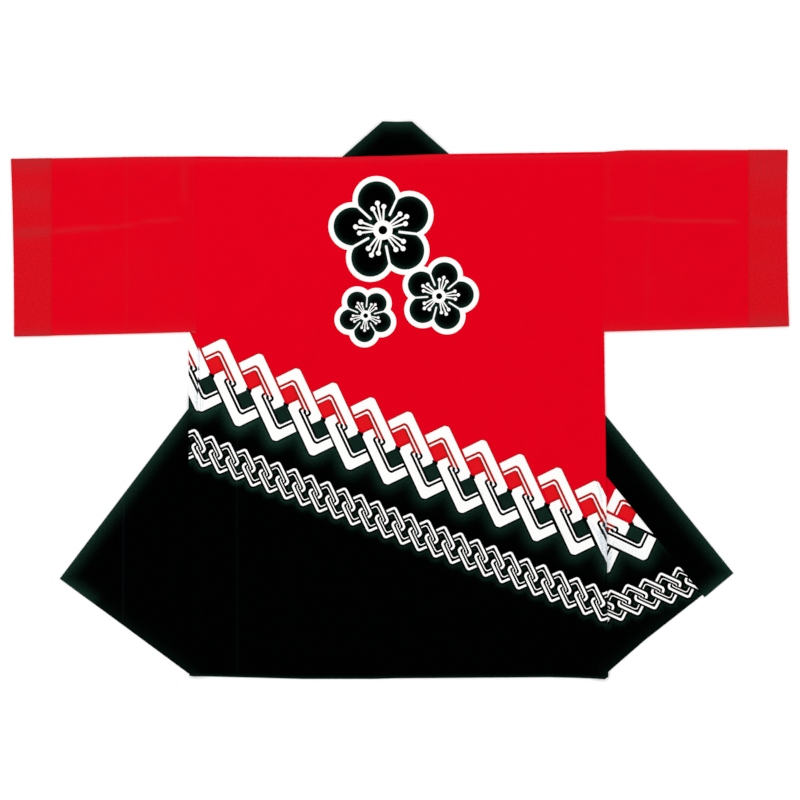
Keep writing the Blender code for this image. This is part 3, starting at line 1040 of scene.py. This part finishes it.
# Its crease colour is the painted highlight of creases on black, and its glare a painted greenish
# glow of light from white beside it
black_cotton = cotton("black_cotton", (0.0002, 0.0003, 0.0003), mottle=0.25, glare=True,
                      crease_shading=(0.0030, 0.0060, 0.0060))


def band_map(start, end):
    """Gives points their place along and across a band that runs from start to end."""
    start, along = np.array(start), np.array(end) - np.array(start)
    along = along / np.linalg.norm(along)
    across = np.array((-along[1], along[0]))

    def place(points):
        return np.column_stack(((points - start) @ along, (points - start) @ across))

    return place


def place_collar_neck(points):
    height = back_height(points) + BAND_CLOTH / 2 + drift(points) * 0.5
    return np.column_stack((points, height)), np.tile((0.0, 0.0, 1.0), (len(points), 1))


collar_neck_cloth = lay_cloth(
    "collar_neck_cloth", [left["neck"], left["collar_top"], right["collar_top"], right["neck"]],
    place_collar_neck, BAND_CLOTH, BAND_SPACING, guides=EVERY_SETTLE, rounding=BAND_ROUNDING,
    cloth_map=band_map(left["collar_top"], right["collar_top"]), materials=[black_cotton],
)
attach(collar_neck_cloth, "root")
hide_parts("collar_neck")


def collar_cloth(name, layers):
    half = layers.half
    outline = [
        half["neck"], unfold(layers.slant, half["bend_inner"]),
        unfold(layers.slant, half["seam_end"]), unfold(layers.slant, half["band_end"]),
        unfold(layers.slant, half["bend_outer"]), half["collar_top"],
    ]

    def level(points):
        return layers.front_height(points, BAND_CLOTH) + drift(points) * 0.5

    def wing_level(points):
        return creased(points, WING_CREASES[name])

    def place(points):
        folds = ((layers.slant, wing_level, False, ANYWHERE),)
        return folded_place(points, BAND_CLOTH, level, folds)

    guides = fold_guides(layers.slant) + layers.settle_guides() + wing_guides(name, layers)
    return lay_cloth(
        "collar_" + name + "_cloth", outline, place, BAND_CLOTH, BAND_SPACING,
        guides=guides, painted_shading=lambda points: wing_shading(name, layers, points),
        rounding=BAND_ROUNDING, cloth_map=band_map(half["neck"], outline[1]),
        materials=[black_cotton],
    )


collar_cloths = {}
for name, layers in LAYERS.items():
    piece = collar_cloth(name, layers)
    collar_cloths[name] = piece
    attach(piece, "root")
    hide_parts("collar_" + name)

# The sleeves
# Each is one straight piece of plain red cotton, folded along the top and sewn along the
# underside to a flat tube, then sewn to the body. It was pressed with a crease along it.
SLEEVE_CLOTH = 0.7 * MM
SLEEVE_HEIGHT = 2.8 * MM
SLEEVE_STEP = 3 * MM
SLEEVE_LIP = 0.35 * MM
SLEEVE_EASE = 26 * MM
TURN_STEPS = 8
# Sections from the body outward: x and y of the top fold, then of the seam below
SLEEVES = {
    "left": ((-0.3335, 0.3980, -0.3335, 0.1119), (-0.4300, 0.3975, -0.4300, 0.1091),
             (-0.5688, 0.3950, -0.5688, 0.1058)),
    "right": ((0.3302, 0.4054, 0.3302, 0.1120), (0.3710, 0.4082, 0.3710, 0.1131),
              (0.4250, 0.4085, 0.4250, 0.1147), (0.5688, 0.4085, 0.5688, 0.1190)),
}
# How strong the painted shade along the two folds is, and how far in it reaches
FOLD_SHADING = (0.42, 8 * MM)
SLEEVE_FADE = 30 * MM
SHADING_SHARE = 0.9
EASE_RINGS = 5
# A sleeve's creases: share of the length and of the height at both ends, then height, half
# width and how strongly painted shade and highlight of the crease show on the cloth
SLEEVE_CREASES = {
    "left": ((0.12, 0.645, 0.38, 0.630, 0.6, 3.6, 0.30),
             (0.42, 0.615, 0.70, 0.595, 0.6, 4.0, 0.28),
             (0.68, 0.604, 1.00, 0.585, 0.7, 5.0, 0.42),
             (0.48, 0.03, 0.48, 0.97, 0.4, 1.5, 0.22),
             (0.08, 0.75, 0.08, 0.97, 0.2, 6.0, 0.20),
             (0.10, 0.20, 0.62, 0.33, 0.35, 14.0, 0.00),
             (0.50, 0.93, 0.92, 0.91, 0.3, 7.0, 0.00),
             (0.30, 0.38, 0.75, 0.30, 0.2, 30.0, 0.03)),
    "right": ((0.04, 0.625, 0.36, 0.622, 0.5, 4.2, 0.34),
              (0.36, 0.610, 0.92, 0.598, 0.7, 3.6, 0.42),
              (0.30, 0.05, 0.34, 0.95, 0.25, 5.0, 0.05),
              (0.05, 0.32, 0.55, 0.22, 0.35, 15.0, 0.00),
              (0.62, 0.88, 0.90, 0.94, 0.3, 6.0, 0.08),
              (0.15, 0.30, 0.60, 0.24, 0.2, 32.0, 0.03),
              (0.04, 0.70, 0.04, 0.95, 0.2, 5.0, 0.10)),
}


def width_ends(sections, share):
    """The low and the top end of a sleeve's width, at a share of the way along it."""
    table = np.array(sections)
    length = np.abs(table[:, 0] - table[0, 0])
    row = np.array([np.interp(share * length[-1], length, column) for column in table.T])
    return row[2:], row[:2]


def tube_profile(length, wall, height):
    """Once round a flattened tube: the run up it, the height, and the way out of the cloth."""
    radius = (height - wall) / 2
    runs = np.linspace(radius, length - radius, max(4, int(length / SLEEVE_STEP)))
    points = []
    for face, centre, across in ((-1.0, length - radius, runs), (1.0, radius, runs[::-1])):
        level = wall / 2 if face < 0.0 else height - wall / 2
        points += [(run, level, 0.0, face) for run in across]
        for index in range(1, TURN_STEPS):
            angle = math.pi * index / TURN_STEPS
            sin, cos = face * math.sin(angle), face * math.cos(angle)
            points.append((centre - radius * sin, wall / 2 + radius + radius * cos, -sin, cos))
    return np.array(points)


def path_length(path):
    """How far along a path each of its points lies."""
    steps = np.linalg.norm(np.diff(path, axis=0), axis=1)
    return np.concatenate(((0.0,), np.cumsum(steps)))


def tube_length(sections):
    return abs(sections[-1][0] - sections[0][0])


def sleeve_tube(name, sections, creases, wall, height, material, lip, meets, ease, start=0.0,
                hollow=0.0):
    """A flat tube of cloth, its outer end rounded over lip and curved in by hollow.

    Its inner end is raised to meet what it is sewn to, which eases out over a length. start is
    where it begins in its bolt of cloth.
    """
    length = tube_length(sections)
    direction = 1.0 if sections[-1][0] > sections[0][0] else -1.0
    even = np.linspace(0.0, 1.0, int(length / SLEEVE_STEP) + 1)
    lip_rings = (SEAM_GAP / 2 + lip * np.array((1.0, RING_SHARE, 0.0))) / length
    eased = np.arange(0.0, ease, ease / EASE_RINGS) / length
    stations = np.concatenate((
        (0.0, 0.1 * MM / length), eased[1:], even[even * length > ease][:-1], 1.0 - lip_rings))
    base_low, base_top = width_ends(sections, 0.0)
    profile = tube_profile(base_top[1] - base_low[1], wall, height)
    share = profile[:, 0] / (base_top[1] - base_low[1])
    upper = profile[:, 3] > 0.5
    around = len(profile)
    lines = []
    for share_a, tall_a, share_b, tall_b, rise, width, painted_shading in creases:
        ends = []
        for part, tall_part in ((share_a, tall_a), (share_b, tall_b)):
            low, top = width_ends(sections, part)
            ends.append(low + (top - low) * tall_part)
        lines.append((ends, rise * MM, width * MM, painted_shading))
    outer, inner, spots, crease_shading = [], [], [], []
    for station in stations:
        low, top = width_ends(sections, station)
        tall = np.linalg.norm(top - low)
        up = (top - low) / tall
        flat = low + np.multiply.outer(share * tall, up)
        flat[:, 0] -= direction * hollow * 4 * share * (1.0 - share) * station
        where = flat[upper]
        raised = (meets - height) * (1.0 - float(smooth(station * length / ease)))
        lift = raised * np.clip((profile[:, 1] - wall / 2) / (height - wall), 0.0, 1.0)
        lift[upper] += drift(where)
        # Painted shade along the top and bottom folds, and painted shade and highlight along the
        # creases
        strength, reach = FOLD_SHADING
        shaded = strength * np.exp(-np.minimum(share, 1.0 - share) * tall / reach)
        for ends, rise, width, painted_shading in lines:
            lift[upper] += crease(where, *ends, rise, width, SLEEVE_FADE)
            shaded[upper] += crease(where, *ends, painted_shading, width * SHADING_SHARE, SLEEVE_FADE)
        half = wall / 2 * rounded(((1.0 - station) * length - SEAM_GAP / 2) / lip)
        middle = np.column_stack((flat, profile[:, 1] + lift))
        out = np.column_stack((np.multiply.outer(profile[:, 2], up), profile[:, 3]))
        outer.append(middle + out * half)
        inner.append(middle - out * half)
        crease_shading.append(np.clip(shaded, 0.0, 1.0))
        along = np.full(around, direction * (start + station * length))
        spots.append(np.column_stack((along, path_length(profile[:, :2]))))

    total = len(stations) * around
    last = total - around
    faces = []
    for index in range(around):
        after = (index + 1) % around
        faces.append((index, index + total, after + total, after))
        for ring in range(0, last, around):
            a, b = ring + index, ring + after
            faces.append((a, b, b + around, a + around))
            faces.append((a + total, a + around + total, b + around + total, b + total))
        faces.append((last + index, last + after, last + after + total, last + index + total))
    if direction < 0.0:
        faces = [face[::-1] for face in faces]
    mesh = bpy.data.meshes.new(name)
    mesh.from_pydata(np.vstack(outer + inner).tolist(), [], faces)
    mesh.materials.append(material)
    return cloth_object(name, mesh, np.vstack(spots), {"CreaseShading": np.concatenate(crease_shading)})


# Its second colour is the painted shade and highlight of the creases and folds
red_cotton = cotton("red_cotton", (0.680, 0.0007, 0.0098), crease_shading=(0.540, 0.0165, 0.0240))
for name, sections in SLEEVES.items():
    piece = sleeve_tube("sleeve_" + name + "_cloth", sections, SLEEVE_CREASES[name],
                        SLEEVE_CLOTH, SLEEVE_HEIGHT, red_cotton, SLEEVE_LIP,
                        meets=PITCH + CLOTH, ease=SLEEVE_EASE)
    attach(piece, "root")
    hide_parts("sleeve_" + name)
    tube_length(sections)

# The cuff hems
# The last stretch of each sleeve, turned in and sewn down, so that its cloth is double. It is
# a little duller than the sleeve, with fine ribs across it, and its end is a soft rounded fold.
CUFF_CLOTH = 1.3 * MM
CUFF_HEIGHT = 3.3 * MM
CUFF_LIP = 0.7 * MM
CUFF_EASE = 9 * MM
CUFF_START = 0.24
CUFFS = {
    "left": (SLEEVES["left"][-1], (-0.6355, 0.3939, -0.6305, 0.1045)),
    "right": (SLEEVES["right"][-1], (0.6331, 0.4085, 0.6355, 0.1213)),
}
CUFF_HOLLOW = {"left": 1.5 * MM, "right": 2.1 * MM}
# Rows like a sleeve's; those of height 0 are painted shade only, along the cuffs' edges
CUFF_CREASES = {
    "left": ((0.0, 0.59, 1.0, 0.575, 0.7, 10.0, 0.50), (0.0, 0.78, 1.0, 0.79, 0.2, 22.0, 0.25),
             (0.0, 0.97, 1.0, 0.97, 0.0, 16.0, 0.45), (0.0, 0.01, 1.0, 0.01, 0.0, 7.0, 0.30)),
    "right": ((0.0, 0.60, 1.0, 0.585, 0.6, 9.0, 0.20), (0.0, 0.90, 1.0, 0.88, 0.2, 34.0, 0.32),
              (0.0, 0.03, 1.0, 0.03, 0.0, 12.0, 0.28), (0.0, 0.35, 1.0, 0.34, 0.2, 18.0, 0.10)),
}
# Its second colour is the painted shade and highlight of the creases and folds
red_double = cotton("red_cotton_double", (0.613, 0.0050, 0.0118), mottle=0.30, ribs=0.03,
                    crease_shading=(0.450, 0.0200, 0.0260), grain=(250.0, 620.0), patches=420.0)
cuff_cloths = {}
for name, sections in CUFFS.items():
    piece = sleeve_tube("cuff_" + name + "_cloth", sections, CUFF_CREASES[name],
                        CUFF_CLOTH, CUFF_HEIGHT, red_double, CUFF_LIP,
                        meets=SLEEVE_HEIGHT, ease=CUFF_EASE, start=CUFF_START,
                        hollow=CUFF_HOLLOW[name])
    cuff_cloths[name] = piece
    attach(piece, "root")
    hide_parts("cuff_hem_" + name)
    tube_length(sections)

# The stitching
# Rows of machine stitches in cotton thread. The hems are sewn down a little way in from their
# folds, the collar close beside its seams, and the cuff hems beside the ends of the sleeves.
THREAD = 0.42 * MM
STITCH_LENGTH = 2.7 * MM
STITCH_PITCH = 3.4 * MM
HEM_ROW_DEPTH = 5.6 * MM
SEAM_ROW_DEPTH = 2.2 * MM
CUFF_ROW_END = 3 * MM
# How far out from the middle line a row comes clear of the body
SHOWS_FROM = 0.352
ABOVE = 0.1


def beside(path, toward, distance):
    """The path moved sideways, to the side on which a point lies."""
    path = np.array(path)
    along = np.gradient(path, axis=0)
    along /= np.linalg.norm(along, axis=1)[:, None]
    across = np.column_stack((-along[:, 1], along[:, 0]))
    side = np.sign(((np.array(toward) - path) * across).sum(axis=1))
    return path + across * side[:, None] * distance


def clear_of_body(path):
    """The part of a path, which starts far out, that the body does not cover."""
    run = np.vstack([part[:-1] for part in divided(path, -1.0, 1.0, 1 * MM)])
    return run[np.abs(run[:, 0]) > SHOWS_FROM]


def stitch_row(name, path, cloth, thread):
    """Stitches along a path, each half sunk in the cloth under it."""
    path = np.array(path)
    run = path_length(path)
    bpy.ops.mesh.primitive_cylinder_add(
        vertices=6, radius=THREAD / 2, depth=STITCH_LENGTH, rotation=(0.0, math.pi / 2, 0.0))
    stitch = bpy.context.object
    bpy.ops.object.transform_apply(location=False, rotation=True, scale=False)
    bpy.ops.object.shade_smooth()
    stitch.data.materials.append(thread)
    stitches = []
    for place in np.arange(STITCH_PITCH, run[-1] - STITCH_PITCH, STITCH_PITCH):
        x, y = (np.interp(place, run, path[:, axis]) for axis in (0, 1))
        ahead = [np.interp(place + 0.5 * MM, run, path[:, axis]) for axis in (0, 1)]
        hit, spot, _, _ = cloth.ray_cast((x, y, ABOVE), (0.0, 0.0, -1.0))
        if not hit:
            continue
        one = stitch.copy()
        one.data = stitch.data.copy()
        one.location = spot
        one.rotation_euler = (0.0, 0.0, math.atan2(ahead[1] - y, ahead[0] - x))
        bpy.context.scene.collection.objects.link(one)
        stitches.append(one)
    bpy.data.objects.remove(stitch)
    bpy.ops.object.select_all(action="DESELECT")
    for one in stitches:
        one.select_set(True)
    bpy.context.view_layer.objects.active = stitches[0]
    bpy.ops.object.join()
    bpy.ops.object.transform_apply(location=True, rotation=True, scale=True)
    row = bpy.context.object
    row.name = name
    row.select_set(False)
    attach(row, "root")


def plain_paint(name, colour, roughness, specular):
    """The material of thread too fine to show its fibres, and of the floor."""
    made = bpy.data.materials.new(name)
    made.use_nodes = True
    shader = made.node_tree.nodes["Principled BSDF"]
    shader.inputs["Base Color"].default_value = (*colour, 1.0)
    shader.inputs["Roughness"].default_value = roughness
    shader.inputs["Specular IOR Level"].default_value = specular
    return made


black_thread = plain_paint("black_thread", (0.0006, 0.0008, 0.0008), 0.9, 0.02)
red_thread = plain_paint("red_thread", (0.600, 0.0040, 0.0100), 0.9, 0.02)
bpy.context.view_layer.update()
stitch_row("back_hem_stitches", beside(back_hem, (0.0, 0.0), HEM_ROW_DEPTH), back_cloth,
           black_thread)
for name, half in HALVES.items():
    hem = beside((half["hem_end"], half["hem_bow"], half["wing_corner"]), half["bend_outer"],
                 HEM_ROW_DEPTH)
    stitch_row("wing_hem_stitches_" + name, clear_of_body(hem), front_cloths[name],
               black_thread)
    seam = beside((half["seam_end"], half["bend_inner"]), half["band_end"], SEAM_ROW_DEPTH)
    stitch_row("collar_stitches_" + name, clear_of_body(seam), collar_cloths[name],
               black_thread)
    end_x, top_y, _, low_y = CUFFS[name][0]
    row_x = end_x + math.copysign(SEAM_ROW_DEPTH, end_x)
    row = ((row_x, low_y + CUFF_ROW_END), (row_x, top_y - CUFF_ROW_END))
    stitch_row("cuff_stitches_" + name, row, cuff_cloths[name], red_thread)

# Floor, light and camera
# A pale matt floor just under the coat, soft light from all round with one lamp above the collar,
# and a camera straight above.
FLOOR_SIZE = 12.0
FLOOR_DROP = 0.5 * MM
SKY_STRENGTH = 0.97
LAMP_PLACE = Vector((-1.4, 2.6, 3.8))
LAMP_SIZE = 1.2
LAMP_POWER = 41.0
bpy.ops.mesh.primitive_plane_add(size=FLOOR_SIZE, location=(0.0, 0.0, -FLOOR_DROP))
floor = bpy.context.object
floor.name = "floor"
floor.data.materials.append(plain_paint("floor_paint", (0.98, 0.98, 0.98), 1.0, 0.0))

world = bpy.data.worlds.new("studio")
bpy.context.scene.world = world
world.use_nodes = True
sky = world.node_tree.nodes["Background"]
sky.inputs["Color"].default_value = (1.0, 1.0, 1.0, 1.0)
sky.inputs["Strength"].default_value = SKY_STRENGTH
bpy.ops.object.light_add(type="AREA", location=LAMP_PLACE)
lamp = bpy.context.object
lamp.name = "key_light"
lamp.data.shape = "DISK"
lamp.data.size = LAMP_SIZE
lamp.data.energy = LAMP_POWER
lamp.rotation_euler = (-LAMP_PLACE).to_track_quat("-Z", "Y").to_euler()

FRAME_WIDTH = 1.3077
CAMERA_Y = 0.0003
CAMERA_HEIGHT = 3.2
SENSOR_WIDTH = 36.0
bpy.ops.object.camera_add(location=(0.0, CAMERA_Y, CAMERA_HEIGHT), rotation=(0.0, 0.0, 0.0))
camera = bpy.context.object
camera.name = "camera"
camera.data.sensor_width = SENSOR_WIDTH
camera.data.lens = SENSOR_WIDTH * CAMERA_HEIGHT / FRAME_WIDTH
camera.data.dof.use_dof = False
bpy.context.scene.camera = camera
bpy.context.scene.view_settings.view_transform = "Standard"
